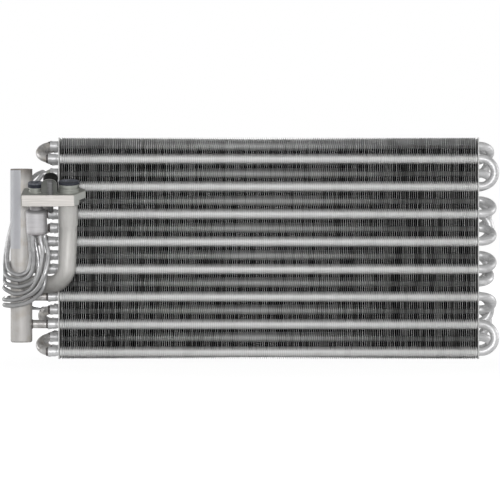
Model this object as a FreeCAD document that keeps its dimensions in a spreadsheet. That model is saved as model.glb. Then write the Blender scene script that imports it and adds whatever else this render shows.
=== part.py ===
import FreeCAD, Part
import math
import os
import Sketcher
from FreeCAD import Placement, Rotation, Vector

# Evaporator core: a plate-fin pack on round hairpin tubes, a suction header and an inlet
# distributor on the left, and one block that carries both pipe ports.
# X runs along the fins' stack to the right, Y from the front face to the back, Z up.
# The origin is the middle of the pack's bottom edge.

doc = FreeCAD.newDocument("EvaporatorCore")
sheet = doc.addObject("Spreadsheet::Sheet", "Sizes")
AXIS_X = Vector(1, 0, 0)
AXIS_Z = Vector(0, 0, 1)


# A number from the sheet together with the formula that gives it

class Size:
    def __init__(self, number, formula):
        self.number = number
        self.formula = formula

    def __add__(self, other):
        return combined(self, "+", other, self.number + number(other))

    def __sub__(self, other):
        return combined(self, "-", other, self.number - number(other))

    def __mul__(self, other):
        return combined(self, "*", other, self.number * number(other))

    def __truediv__(self, other):
        return combined(self, "/", other, self.number / number(other))

    def __neg__(self):
        return self * -1


def number(value):
    return value.number if isinstance(value, Size) else value


def formula(value):
    return value.formula if isinstance(value, Size) else repr(value)


def combined(first, sign, second, result):
    return Size(result, "(" + formula(first) + " " + sign + " " + formula(second) + ")")


def diagonal(first, second):
    text = "sqrt((" + formula(first) + ")^2 + (" + formula(second) + ")^2)"
    return Size(math.hypot(number(first), number(second)), text)


def direction(rise, run):
    text = "atan2(" + formula(rise) + "; " + formula(run) + ")"
    return Size(math.degrees(math.atan2(number(rise), number(run))), text)


def wholePart(value):
    return Size(math.floor(number(value)), "floor(" + formula(value) + ")")


sheetRow = 0


def size(alias, value):
    global sheetRow
    sheetRow += 1
    cell = "B" + str(sheetRow)
    sheet.set("A" + str(sheetRow), alias)
    sheet.set(cell, str(value))
    sheet.setAlias(cell, alias)
    return Size(value, "Sizes." + alias)


# Fin pack and tube grid
packLength = size("packLength", 386.2)
tubePitch = size("tubePitch", 25.4)
rowPitch = size("rowPitch", 19.05)
finPitch = size("finPitch", 1.954)
finThickness = size("finThickness", 0.15)
plateThickness = size("plateThickness", 1.0)
holeClearance = size("holeClearance", 0.1)

# Tubes, their bells and their bends
tubeOuter = size("tubeOuter", 7.94)
tubeWall = size("tubeWall", 0.4)
bendStart = size("bendStart", 2.8)
bellReach = size("bellReach", 9.9)
bellDepth = size("bellDepth", 6.9)
bellShoulder = size("bellShoulder", 0.9)
bellClearance = size("bellClearance", 0.08)
flareLength = size("flareLength", 3.2)
flareGrowth = size("flareGrowth", 0.6)
bendSeat = size("bendSeat", 2.8)
socketGap = size("socketGap", 0.5)

# Suction header
headerOuter = size("headerOuter", 20.0)
headerWall = size("headerWall", 1.25)
headerOffset = size("headerOffset", 34.8)
headerBottom = size("headerBottom", 14.9)
headerLength = size("headerLength", 159.8)
headerRounding = size("headerRounding", 2.0)
headerCapThickness = size("headerCapThickness", 2.5)
headerCapRecess = size("headerCapRecess", 0.8)
stubInsertion = size("stubInsertion", 1.5)
labelDrop = size("labelDrop", 1.5)
labelLength = size("labelLength", 72.0)
labelThickness = size("labelThickness", 0.15)
labelGap = size("labelGap", 0.03)
labelAngle = size("labelAngle", 122.0)
labelStart = size("labelStart", 150.0)

# Port block and what stands on it
blockTilt = size("blockTilt", 15.0)
blockBottom = size("blockBottom", 142.6)
blockThickness = size("blockThickness", 10.5)
blockHalfDepth = size("blockHalfDepth", 14.0)
blockLeftReach = size("blockLeftReach", 42.5)
blockFrontReach = size("blockFrontReach", 5.3)
blockRightReach = size("blockRightReach", 14.1)
blockSlopeEnd = size("blockSlopeEnd", 3.0)
blockRearCut = size("blockRearCut", 4.6)
blockEdge = size("blockEdge", 0.8)
blockWingStart = size("blockWingStart", 9.0)
blockWingRelief = size("blockWingRelief", 4.2)
portInset = size("portInset", 12.4)
portSpacing = size("portSpacing", 30.4)
pipeSocketDepth = size("pipeSocketDepth", 3.5)
pipeAside = size("pipeAside", 1.4)
suctionNeckOuter = size("suctionNeckOuter", 18.6)
suctionNeckHeight = size("suctionNeckHeight", 7.6)
suctionNeckBore = size("suctionNeckBore", 15.0)
liquidNeckOuter = size("liquidNeckOuter", 13.2)
liquidNeckHeight = size("liquidNeckHeight", 4.5)
liquidNeckBore = size("liquidNeckBore", 9.0)
neckSeat = size("neckSeat", 3.0)
grooveWidth = size("grooveWidth", 1.6)
grooveDepth = size("grooveDepth", 1.0)
suctionPlugHead = size("suctionPlugHead", 2.1)
suctionPlugRecess = size("suctionPlugRecess", 0.6)
liquidPlugHead = size("liquidPlugHead", 4.3)
plugShank = size("plugShank", 6.5)
plugOverhang = size("plugOverhang", 0.3)
plugWall = size("plugWall", 1.2)
fitGap = size("fitGap", 0.05)
studDiameter = size("studDiameter", 5.0)
studHeight = size("studHeight", 13.2)
studBelow = size("studBelow", 6.0)
studSetback = size("studSetback", 11.0)
studAside = size("studAside", 16.2)
lugAside = size("lugAside", 17.4)
lugRadius = size("lugRadius", 7.2)
lugHeight = size("lugHeight", 12.9)
lugRounding = size("lugRounding", 5.0)
dustCapRadius = size("dustCapRadius", 6.7)
dustCapHeight = size("dustCapHeight", 15.6)
dustCapRounding = size("dustCapRounding", 5.0)
valveStemRadius = size("valveStemRadius", 4.2)
valveStemHeight = size("valveStemHeight", 12.0)

# Suction pipe
suctionOuter = size("suctionOuter", 15.9)
suctionWall = size("suctionWall", 1.2)
suctionHeadOuter = size("suctionHeadOuter", 17.4)
suctionHeadLength = size("suctionHeadLength", 24.0)
suctionStandoff = size("suctionStandoff", 16.5)
suctionDrift = size("suctionDrift", 2.0)
suctionKinkDrop = size("suctionKinkDrop", 26.0)
suctionKinkRadius = size("suctionKinkRadius", 40.0)
suctionElbowRadius = size("suctionElbowRadius", 18.5)
suctionJointHeight = size("suctionJointHeight", 68.6)

# Distributor and capillaries
distributorNeckOuter = size("distributorNeckOuter", 12.0)
distributorNeckLength = size("distributorNeckLength", 5.6)
distributorOuter = size("distributorOuter", 19.0)
distributorLength = size("distributorLength", 23.1)
distributorShoulder = size("distributorShoulder", 2.2)
distributorChamfer = size("distributorChamfer", 1.0)
distributorBore = size("distributorBore", 6.0)
outletRing = size("outletRing", 6.9)
outletDepth = size("outletDepth", 5.0)
capillaryOuter = size("capillaryOuter", 4.0)
capillaryClearance = size("capillaryClearance", 2.7)
capillaryDrop = size("capillaryDrop", 3.0)
bushNose = size("bushNose", 3.4)
bushNoseOuter = size("bushNoseOuter", 5.6)
doc.recompute()

tubesPerRow = 8
rows = "abcd"

# Each hairpin joins two tubes at the right-hand end, and each return bend joins two at the left.
# A row is a letter, a at the front; a tube is a number, 1 at the top.
hairpins = ["a1 a2", "a3 b3", "a4 b4", "a5 b5", "a6 b7", "a7 a8", "b1 c1", "b2 c2",
            "b6 c5", "b8 c8", "c3 c4", "c6 c7", "d1 d2", "d3 d4", "d5 d6", "d7 d8"]
returnBends = ["a1 b1", "c1 d1", "b3 c2", "b4 c4", "c3 d3", "b5 b6", "c5 d5", "b7 c7",
               "a8 b8", "c8 d8"]
outlets = ["a2", "a3", "a4", "a5", "a6", "a7"]

packDepth = rowPitch * len(rows)
packHeight = tubePitch * tubesPerRow
packEnd = packLength / 2
firstRow = rowPitch / 2
tubeInner = tubeOuter - tubeWall * 2
bellInner = tubeOuter + bellClearance * 2
mouthX = -(packEnd + bellReach)
insertion = bellDepth - socketGap


def tubeY(tube):
    return firstRow + rowPitch * rows.index(tube[0]) - packDepth / 2


def tubeZ(tube):
    stagger = tubePitch / 4 if tube[0] in "ac" else tubePitch * 3 / 4
    return stagger + tubePitch * (tubesPerRow - int(tube[1]))


# Building blocks

nodes = {}


def bind(target, path, value):
    if isinstance(value, Size):
        target.setExpression(path, value.formula)


def newBody(label):
    body = doc.addObject("PartDesign::Body", label)
    nodes[label] = body
    return body


def originFeature(body, role):
    for feature in body.Origin.OriginFeatures:
        if feature.Role == role:
            return feature


def sketchOn(body, name, role, shift=(0, 0, 0)):
    sketch = body.newObject("Sketcher::SketchObject", name)
    sketch.AttachmentSupport = [(originFeature(body, role), "")]
    sketch.MapMode = "FlatFace"
    sketch.AttachmentOffset = Placement(Vector(*[number(value) for value in shift]), Rotation())
    for axis, value in zip("xyz", shift):
        bind(sketch, "AttachmentOffset.Base." + axis, value)
    return sketch


def constrain(sketch, kind, *arguments):
    value = arguments[-1]
    index = sketch.addConstraint(Sketcher.Constraint(kind, *arguments[:-1], number(value)))
    bind(sketch, "Constraints[" + str(index) + "]", value)


def drawPolygon(sketch, corners):
    first = sketch.GeometryCount
    count = len(corners)
    points = [Vector(number(x), number(y), 0) for x, y in corners]
    for i in range(count):
        sketch.addGeometry(Part.LineSegment(points[i], points[(i + 1) % count]))
    for i in range(count):
        following = first + (i + 1) % count
        sketch.addConstraint(Sketcher.Constraint("Coincident", first + i, 2, following, 1))
    for i, (x, y) in enumerate(corners):
        constrain(sketch, "DistanceX", -1, 1, first + i, 1, x)
        constrain(sketch, "DistanceY", -1, 1, first + i, 1, y)


def drawRectangle(sketch, left, bottom, right, top):
    drawPolygon(sketch, [(left, bottom), (right, bottom), (right, top), (left, top)])


def drawCircle(sketch, x, y, radius):
    centre = Vector(number(x), number(y), 0)
    index = sketch.addGeometry(Part.Circle(centre, AXIS_Z, number(radius)))
    constrain(sketch, "DistanceX", -1, 1, index, 3, x)
    constrain(sketch, "DistanceY", -1, 1, index, 3, y)
    constrain(sketch, "Radius", index, radius)


def drawRing(sketch, x, y, outer, inner):
    drawCircle(sketch, x, y, outer / 2)
    drawCircle(sketch, x, y, inner / 2)


def pad(body, name, sketch, length, backwards=False):
    feature = body.newObject("PartDesign::Pad", name)
    feature.Profile = sketch
    feature.Length = number(length)
    bind(feature, "Length", length)
    feature.Reversed = backwards
    return feature


def pocket(body, name, sketch, length, forwards=False):
    feature = body.newObject("PartDesign::Pocket", name)
    feature.Profile = sketch
    feature.Length = number(length)
    bind(feature, "Length", length)
    feature.Reversed = forwards
    return feature


def revolve(body, name, sketch, axis="H_Axis", angle=360.0, backwards=False):
    feature = body.newObject("PartDesign::Revolution", name)
    feature.Profile = sketch
    feature.ReferenceAxis = (sketch, [axis])
    feature.Angle = angle
    feature.Reversed = backwards
    return feature


def roundEdges(body, name, base, picked, radius, kind="PartDesign::Fillet"):
    feature = body.newObject(kind, name)
    names = ["Edge" + str(i + 1) for i, edge in enumerate(base.Shape.Edges) if picked(edge)]
    feature.Base = (base, names)
    path = "Radius" if kind.endswith("Fillet") else "Size"
    setattr(feature, path, number(radius))
    bind(feature, path, radius)
    return feature


def isCircle(edge, radius, z):
    round_ = isinstance(edge.Curve, Part.Circle)
    return round_ and abs(edge.Curve.Radius - number(radius)) < 1e-4 \
        and abs(edge.CenterOfMass.z - number(z)) < 1e-4


def place(target, base, axis=AXIS_X, angle=0):
    position = Vector(*[number(value) for value in base])
    target.Placement = Placement(position, Rotation(axis, number(angle)))
    for name, value in zip("xyz", base):
        bind(target, "Placement.Base." + name, value)
    bind(target, "Placement.Rotation.Angle", angle)


# Fins: thin sheets, each with two windows that the four rows of tubes pass through

def buildFins():
    body = newBody("fin_stack")
    halfStack = packEnd - plateThickness
    perSide = wholePart((halfStack - finPitch / 2) / finPitch)
    firstFin = -(perSide * finPitch) - finThickness / 2
    sketch = sketchOn(body, "FinOutline", "YZ_Plane", (0, 0, firstFin))
    drawRectangle(sketch, packDepth / -2, 0.0, packDepth / 2, packHeight)
    reach = tubeOuter / 2 + holeClearance
    bottom = tubeZ("a8") - reach
    top = tubeZ("b1") + reach
    for near, far in (("a1", "b1"), ("c1", "d1")):
        drawRectangle(sketch, tubeY(near) - reach, bottom, tubeY(far) + reach, top)
    fin = pad(body, "Fin", sketch, finThickness)
    stack = body.newObject("PartDesign::LinearPattern", "FinStack")
    stack.Originals = [fin]
    stack.Direction = (originFeature(body, "X_Axis"), [""])
    stack.Mode = "Spacing"
    stack.Offset = number(finPitch)
    bind(stack, "Offset", finPitch)
    stack.Occurrences = int(number(perSide)) * 2 + 1
    bind(stack, "Occurrences", perSide * 2 + 1)
    body.Tip = stack


# End plates: one hole for each tube

def buildEndPlate(label, start):
    body = newBody(label)
    sketch = sketchOn(body, "PlateOutline", "YZ_Plane", (0, 0, start))
    drawRectangle(sketch, packDepth / -2, 0.0, packDepth / 2, packHeight)
    pad(body, "Plate", sketch, plateThickness)
    holes = sketchOn(body, "LowestHoles", "YZ_Plane", (0, 0, start))
    for tube in ("a8", "b8", "c8", "d8"):
        drawCircle(holes, tubeY(tube), tubeZ(tube), tubeOuter / 2 + holeClearance)
    cut = pocket(body, "TubeHoles", holes, plateThickness, forwards=True)
    column = body.newObject("PartDesign::LinearPattern", "HoleColumns")
    column.Originals = [cut]
    column.Direction = (originFeature(body, "Z_Axis"), [""])
    column.Mode = "Spacing"
    column.Offset = number(tubePitch)
    bind(column, "Offset", tubePitch)
    column.Occurrences = tubesPerRow
    body.Tip = column


# Hairpins and return bends: two legs side by side along X, turned about X into their plane

def spanOf(first, second):
    return diagonal(tubeY(second) - tubeY(first), tubeZ(second) - tubeZ(first))


def putBetween(body, first, second, x):
    middle = [(tubeY(first) + tubeY(second)) / 2, (tubeZ(first) + tubeZ(second)) / 2]
    turn = direction(tubeZ(second) - tubeZ(first), tubeY(second) - tubeY(first))
    place(body, [x] + middle, AXIS_X, turn)


def bellProfile():
    wallOut = tubeWall
    bell = bellInner / 2
    flared = bell + flareGrowth
    flareEnd = mouthX + flareLength
    socketEnd = mouthX + bellDepth
    shoulderEnd = socketEnd + bellShoulder
    turn = packEnd + bendStart
    return [(mouthX, flared), (flareEnd, bell), (socketEnd, bell),
            (shoulderEnd, tubeInner / 2), (turn, tubeInner / 2), (turn, tubeOuter / 2),
            (shoulderEnd, tubeOuter / 2), (socketEnd, bell + wallOut),
            (flareEnd, bell + wallOut), (mouthX, flared + wallOut)]


def halfTurn(body, span, x, backwards):
    sketch = sketchOn(body, "BendSection", "YZ_Plane", (0, 0, x))
    drawRing(sketch, span / 2, 0.0, tubeOuter, tubeInner)
    return revolve(body, "Bend", sketch, "V_Axis", 180.0, backwards)


def buildHairpin(first, second):
    body = newBody("hairpin_" + first + "_" + second)
    span = spanOf(first, second)
    halfTurn(body, span, packEnd + bendStart, True)
    sketch = sketchOn(body, "LegWall", "XY_Plane", (0, span / 2, 0))
    drawPolygon(sketch, bellProfile())
    leg = revolve(body, "Leg", sketch)
    other = body.newObject("PartDesign::Mirrored", "OtherLeg")
    other.Originals = [leg]
    other.MirrorPlane = (originFeature(body, "XZ_Plane"), [""])
    body.Tip = other
    putBetween(body, first, second, 0)


def buildReturnBend(first, second):
    body = newBody("return_bend_" + first + "_" + second)
    span = spanOf(first, second)
    halfTurn(body, span, 0, False)
    legs = sketchOn(body, "LegSections", "YZ_Plane")
    for side in (0.5, -0.5):
        drawRing(legs, span * side, 0.0, tubeOuter, tubeInner)
    pad(body, "Legs", legs, insertion - bendSeat)
    putBetween(body, first, second, mouthX + bendSeat)


# Suction header: a tube that is spun closed below and plugged above

headerX = -(packEnd + headerOffset)
headerY = tubeY("a1")
headerInner = headerOuter - headerWall * 2
suctionInner = suctionOuter - suctionWall * 2
suctionX = portInset - packEnd
suctionY = packDepth / -2 - suctionStandoff


def drill(name, diameter, length, base, axis, angle):
    tool = doc.addObject("Part::Cylinder", name)
    bind(tool, "Radius", diameter / 2)
    bind(tool, "Height", length)
    tool.Radius = number(diameter) / 2
    tool.Height = number(length)
    place(tool, base, axis, angle)
    return tool


def flatDrill(name, diameter, z, targetX, targetY):
    # A drill that points from the header's axis to a point at the same height
    tool = drill(name, diameter, headerOuter, (headerX, headerY, z), Vector(0, 1, 0), 90)
    heading = direction(targetY - headerY, targetX - headerX)
    turn = Rotation(AXIS_Z, number(heading)) * Rotation(Vector(0, 1, 0), 90)
    tool.Placement = Placement(tool.Placement.Base, turn)
    tool.setExpression("Placement.Rotation.Angle", None)
    tool.setExpression("Placement.Rotation.Yaw", heading.formula)
    tool.setExpression("Placement.Rotation.Pitch", "90")
    return tool


def buildHeader():
    body = newBody("header_blank")
    del nodes["header_blank"]
    sketch = sketchOn(body, "HeaderWall", "XZ_Plane")
    outer = headerOuter / 2
    inner = headerInner / 2
    drawPolygon(sketch, [(0.0, 0.0), (outer, 0.0), (outer, headerLength), (inner, headerLength),
                         (inner, headerWall), (0.0, headerWall)])
    turned = revolve(body, "Turned", sketch, "V_Axis")
    doc.recompute()
    roundEdges(body, "SpunEnd", turned, lambda edge: isCircle(edge, outer, 0), headerRounding)
    place(body, (headerX, headerY, headerBottom))
    holes = []
    for tube in outlets:
        holes.append(flatDrill("StubHole_" + tube, tubeOuter + fitGap * 2, tubeZ(tube),
                               mouthX, headerY))
    holes.append(flatDrill("SuctionHole", suctionInner, suctionJointHeight,
                           suctionX - suctionDrift, suctionY))
    tools = doc.addObject("Part::MultiFuse", "HeaderHoles")
    tools.Shapes = holes
    header = doc.addObject("Part::Cut", "suction_header")
    header.Base = body
    header.Tool = tools
    nodes["suction_header"] = header


def buildHeaderCap():
    body = newBody("header_cap")
    sketch = sketchOn(body, "CapOutline", "XY_Plane")
    drawCircle(sketch, 0.0, 0.0, headerInner / 2 - fitGap)
    disc = pad(body, "Disc", sketch, headerCapThickness)
    doc.recompute()
    top = lambda edge: isCircle(edge, headerInner / 2 - fitGap, headerCapThickness)
    roundEdges(body, "CapEdge", disc, top, headerCapThickness / 5, "PartDesign::Chamfer")
    height = headerBottom + headerLength - headerCapRecess - headerCapThickness
    place(body, (headerX, headerY, height))


def buildStub(tube):
    body = newBody("outlet_stub_" + tube)
    sketch = sketchOn(body, "StubSection", "YZ_Plane")
    drawRing(sketch, 0.0, 0.0, tubeOuter, tubeInner)
    start = headerInner / 2 - stubInsertion
    pad(body, "Stub", sketch, mouthX + insertion - headerX - start)
    place(body, (headerX + start, tubeY(tube), tubeZ(tube)))


def buildLabel():
    body = newBody("blank_label")
    sketch = sketchOn(body, "LabelSection", "XZ_Plane")
    inner = headerOuter / 2 + labelGap
    drawRectangle(sketch, inner, 0.0, inner + labelThickness, labelLength)
    wrap = revolve(body, "Label", sketch, "V_Axis")
    wrap.Angle = number(labelAngle)
    bind(wrap, "Angle", labelAngle)
    bottom = headerBottom + headerLength - labelDrop - labelLength
    place(body, (headerX, headerY, bottom), AXIS_Z, labelStart)


# Port block group: every piece is drawn upright from the block's bottom face on the suction
# port's axis, and the whole group leans towards the front

blockBase = (suctionX, suctionY - suctionKinkDrop * math.sin(math.radians(blockTilt.number)),
             blockBottom)
liquidX = -portSpacing


def lean(target):
    kinkSine = "sin(Sizes.blockTilt * 1 deg)"
    base = (suctionX,
            Size(number(blockBase[1]), "(" + suctionY.formula + " - " + suctionKinkDrop.formula
                 + " * " + kinkSine + ")"),
            blockBottom)
    place(target, base, AXIS_X, blockTilt)


def cutRound(body, name, x, z, diameter, depth, upwards, y=0.0):
    sketch = sketchOn(body, name + "Circle", "XY_Plane", (0, 0, z))
    drawCircle(sketch, x, y, diameter / 2)
    return pocket(body, name, sketch, depth, forwards=upwards)


def buildBlock():
    body = newBody("port_block")
    plate = sketchOn(body, "PlateOutline", "XY_Plane")
    drawPolygon(plate, [(-blockLeftReach, -blockHalfDepth), (blockFrontReach, -blockHalfDepth),
                        (blockRightReach, blockSlopeEnd),
                        (blockRightReach, blockHalfDepth - blockRearCut),
                        (blockRightReach - blockRearCut, blockHalfDepth),
                        (-blockLeftReach, blockHalfDepth)])
    bar = pad(body, "Bar", plate, blockThickness)
    doc.recompute()
    upright = lambda edge: edge.BoundBox.ZLength > number(blockThickness) / 2
    softened = roundEdges(body, "UprightCorners", bar, upright, blockEdge * 2)
    doc.recompute()
    rim = lambda edge: edge.BoundBox.ZLength < 1e-4
    broken = roundEdges(body, "BrokenEdges", softened, rim, blockEdge / 2, "PartDesign::Chamfer")
    lug = sketchOn(body, "LugOutline", "XY_Plane", (0, 0, blockThickness))
    drawCircle(lug, -lugAside, -lugRadius, lugRadius - fitGap)
    lugPad = pad(body, "Lug", lug, lugHeight)
    doc.recompute()
    lugTop = lambda edge: isCircle(edge, lugRadius - fitGap, blockThickness + lugHeight)
    roundEdges(body, "LugTop", lugPad, lugTop, lugRounding)
    flat = sketchOn(body, "LugFlat", "XY_Plane", (0, 0, blockThickness))
    front = -studSetback + studDiameter / 2 + blockEdge
    drawRectangle(flat, -(lugAside + lugRadius), lugRadius * -2, lugRadius - lugAside, front)
    pocket(body, "LugFront", flat, lugHeight + 1, forwards=True)
    socketTop = blockThickness - neckSeat
    wing = sketchOn(body, "WingUnderside", "XY_Plane")
    drawRectangle(wing, blockWingStart, -blockHalfDepth, blockRightReach, blockHalfDepth)
    pocket(body, "WingRelief", wing, blockWingRelief, forwards=True)
    cutRound(body, "SuctionSocket", -pipeAside, 0.0, suctionHeadOuter + fitGap * 2,
             pipeSocketDepth, True)
    cutRound(body, "SuctionBore", -pipeAside, 0.0, suctionInner, blockThickness, True)
    cutRound(body, "SuctionNeckSeat", 0.0, socketTop, suctionNeckOuter + fitGap * 2, neckSeat,
             True)
    cutRound(body, "LiquidSocket", liquidX, 0.0, distributorNeckOuter + fitGap * 2,
             pipeSocketDepth, True)
    cutRound(body, "LiquidBore", liquidX, 0.0, distributorBore, blockThickness, True)
    cutRound(body, "LiquidNeckSeat", liquidX, socketTop, liquidNeckOuter + fitGap * 2, neckSeat,
             True)
    cutRound(body, "StemSeat", -lugAside, socketTop, valveStemRadius * 2 + fitGap * 2, neckSeat,
             True, blockHalfDepth / 2)
    cutRound(body, "StudHole", -studAside, 0.0, studDiameter + fitGap * 2, blockThickness, True,
             -studSetback)
    lean(body)


def buildNeck(label, x, outer, bore, height):
    body = newBody(label)
    sketch = sketchOn(body, "NeckWall", "XZ_Plane")
    bottom = blockThickness - neckSeat
    top = blockThickness + height
    grooveTop = top - height / 4
    grooveBottom = grooveTop - grooveWidth
    radius = outer / 2
    floor = radius - grooveDepth
    drawPolygon(sketch, [(bore / 2, bottom), (radius, bottom), (radius, grooveBottom),
                         (floor, grooveBottom), (floor, grooveTop), (radius, grooveTop),
                         (radius, top), (bore / 2, top)])
    revolve(body, "Neck", sketch, "V_Axis")
    placeUpright(body, x)


def placeUpright(body, x, y=0.0):
    # Turned pieces are drawn on their own axis, so the group's lean is applied round that axis
    lean(body)
    if isinstance(x, Size):
        body.Placement.Base.x = number(suctionX + x)
        bind(body, "Placement.Base.x", suctionX + x)
    if isinstance(y, Size):
        bind(body, "Placement.Base.y", leanY(y))
        bind(body, "Placement.Base.z", leanZ(y))


def leanY(y):
    angle = math.radians(blockTilt.number)
    value = number(blockBase[1]) + number(y) * math.cos(angle)
    text = "(" + suctionY.formula + " - " + suctionKinkDrop.formula \
        + " * sin(Sizes.blockTilt * 1 deg) + " + y.formula + " * cos(Sizes.blockTilt * 1 deg))"
    return Size(value, text)


def leanZ(y):
    angle = math.radians(blockTilt.number)
    value = number(blockBottom) + number(y) * math.sin(angle)
    text = "(" + blockBottom.formula + " + " + y.formula + " * sin(Sizes.blockTilt * 1 deg))"
    return Size(value, text)


def buildPlug(label, x, outer, bore, height, head, recess):
    body = newBody(label)
    sketch = sketchOn(body, "PlugWall", "XZ_Plane")
    seat = blockThickness + height
    edge = outer / 2 + plugOverhang
    shank = bore / 2 - fitGap
    top = seat + head
    hollow = shank - plugWall
    floor = top - recess
    lip = blockEdge / 2
    drawPolygon(sketch, [(0.0, floor), (0.0, seat - plugShank),
                         (shank - lip, seat - plugShank), (shank, seat - plugShank + lip),
                         (shank, seat + fitGap), (edge, seat + fitGap), (edge, top - lip),
                         (edge - lip, top), (hollow, top), (hollow, floor)])
    revolve(body, "Plug", sketch, "V_Axis")
    placeUpright(body, x)


def buildStud():
    body = newBody("clamp_stud")
    sketch = sketchOn(body, "StudWall", "XZ_Plane")
    radius = studDiameter / 2
    bevel = studDiameter / 8
    top = blockThickness + studHeight
    drawPolygon(sketch, [(0.0, -studBelow), (radius - bevel, -studBelow),
                         (radius, -(studBelow - bevel)), (radius, top - bevel),
                         (radius - bevel, top), (0.0, top)])
    revolve(body, "Stud", sketch, "V_Axis")
    placeUpright(body, -studAside, -studSetback)


def buildValveStem():
    body = newBody("service_stem")
    sketch = sketchOn(body, "StemWall", "XZ_Plane")
    bottom = blockThickness - neckSeat
    top = blockThickness + valveStemHeight
    step = valveStemRadius / 4
    drawPolygon(sketch, [(0.0, bottom), (valveStemRadius, bottom),
                         (valveStemRadius, top - step), (valveStemRadius - step, top),
                         (0.0, top)])
    revolve(body, "Stem", sketch, "V_Axis")
    placeUpright(body, -lugAside, blockHalfDepth / 2)


def buildDustCap():
    body = newBody("dust_cap")
    sketch = sketchOn(body, "CapWall", "XZ_Plane")
    bottom = blockThickness + fitGap
    inner = valveStemRadius + fitGap
    roof = blockThickness + valveStemHeight + fitGap
    top = blockThickness + dustCapHeight
    drawPolygon(sketch, [(inner, bottom), (dustCapRadius, bottom), (dustCapRadius, top),
                         (0.0, top), (0.0, roof), (inner, roof)])
    shell = revolve(body, "Shell", sketch, "V_Axis")
    doc.recompute()
    rim = lambda edge: isCircle(edge, dustCapRadius, top)
    roundEdges(body, "Dome", shell, rim, dustCapRounding)
    placeUpright(body, -lugAside, blockHalfDepth / 2)


def buildDistributor():
    body = newBody("distributor")
    sketch = sketchOn(body, "BodyWall", "XZ_Plane")
    neck = distributorNeckOuter / 2
    outer = distributorOuter / 2
    top = pipeSocketDepth - fitGap
    shoulder = -distributorNeckLength
    bottom = shoulder - distributorLength
    floor = bottom + outletDepth + distributorBore / 2
    bore = distributorBore / 2
    drawPolygon(sketch, [(bore, top), (neck, top), (neck, shoulder),
                         (outer - distributorChamfer, shoulder - distributorShoulder / 2),
                         (outer, shoulder - distributorShoulder),
                         (outer, bottom + distributorChamfer),
                         (outer - distributorChamfer, bottom), (0.0, bottom), (0.0, floor),
                         (bore, floor + bore)])
    revolve(body, "Turned", sketch, "V_Axis")
    hole = cutRound(body, "Outlet", outletRing, bottom, capillaryOuter + fitGap * 2, outletDepth,
                    True)
    ring = body.newObject("PartDesign::PolarPattern", "Outlets")
    ring.Originals = [hole]
    ring.Axis = (originFeature(body, "Z_Axis"), [""])
    ring.Angle = 360
    ring.Occurrences = len(capillaries)
    body.Tip = ring
    placeUpright(body, liquidX)


# Bent pipes: a section swept along straight runs that tangent arcs join

def bentPath(points, radii):
    edges = []
    start = points[0]
    for i in range(1, len(points) - 1):
        corner = points[i]
        towards = (points[i - 1] - corner).normalize()
        onwards = (points[i + 1] - corner).normalize()
        turn = math.pi - towards.getAngle(onwards)
        reach = radii[i - 1] * math.tan(turn / 2)
        arcStart = corner + towards * reach
        arcEnd = corner + onwards * reach
        bisector = (towards + onwards).normalize()
        centre = corner + bisector * (radii[i - 1] / math.cos(turn / 2))
        middle = centre - bisector * radii[i - 1]
        edges.append(Part.LineSegment(start, arcStart).toShape())
        edges.append(Part.Arc(arcStart, middle, arcEnd).toShape())
        start = arcEnd
    edges.append(Part.LineSegment(start, points[-1]).toShape())
    return Part.Wire(edges)


def sweptRod(path, radius):
    tangent = path.Edges[0].tangentAt(path.Edges[0].FirstParameter)
    section = Part.Wire([Part.Circle(path.Edges[0].Vertexes[0].Point, tangent, radius).toShape()])
    rod = path.makePipeShell([section], True, False)
    expected = path.Length * math.pi * radius ** 2
    if abs(rod.Volume - expected) > 0.01 * expected:
        raise ValueError("a swept rod has the wrong volume")
    return rod


def addShape(label, shape):
    feature = doc.addObject("Part::Feature", label)
    feature.Shape = shape
    nodes[label] = feature


def leaned(x, y, z):
    base = Vector(number(suctionX), number(blockBase[1]), number(blockBottom))
    turn = Rotation(AXIS_X, blockTilt.number)
    return base + turn.multVec(Vector(number(x), number(y), number(z)))


def buildSuctionPipe():
    top = leaned(-pipeAside, 0, pipeSocketDepth - fitGap)
    kink = leaned(-pipeAside, 0, -suctionKinkDrop)
    joint = suctionJointHeight.number
    corner = Vector(kink.x - suctionDrift.number, kink.y, joint)
    end = Vector(headerX.number, headerY.number, joint)
    radii = [suctionKinkRadius.number, suctionElbowRadius.number]
    path = bentPath([top, kink, corner, end], radii)
    headLength = suctionHeadLength.number
    head = Part.makeCylinder(suctionHeadOuter.number / 2, headLength, top, kink - top)
    pipe = sweptRod(path, suctionOuter.number / 2).fuse(head)
    pipe = pipe.cut(sweptRod(path, suctionInner.number / 2))
    saddle = Part.makeCylinder(headerOuter.number / 2 + fitGap.number, headerLength.number,
                               Vector(headerX.number, headerY.number, headerBottom.number))
    addShape("suction_pipe", largestSolid(pipe.cut(saddle)))


def largestSolid(shape):
    return max(shape.Solids, key=lambda solid: solid.Volume)


def buildFeedBush(tube):
    body = newBody("feed_bush_" + tube)
    sketch = sketchOn(body, "BushWall", "XY_Plane")
    hole = capillaryOuter / 2 + fitGap
    outer = tubeOuter / 2
    nose = bushNoseOuter / 2
    drawPolygon(sketch, [(-bushNose, hole), (insertion, hole), (insertion, outer),
                         (0.0, outer), (bushNose / -2, nose + (outer - nose) / 2),
                         (bushNose * -0.75, nose), (-bushNose, nose)])
    revolve(body, "Bush", sketch)
    place(body, (mouthX, tubeY(tube), tubeZ(tube)))


# Capillaries: each leaves the distributor's foot, hangs down in a loop, passes round the header's
# left side and comes up behind it to one inlet. The table has the outlet's angle round the foot,
# the last straight's length and the points on the way. A point is right and back of the header's
# axis, both in wrap radii, and above its bottom in mm.

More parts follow.
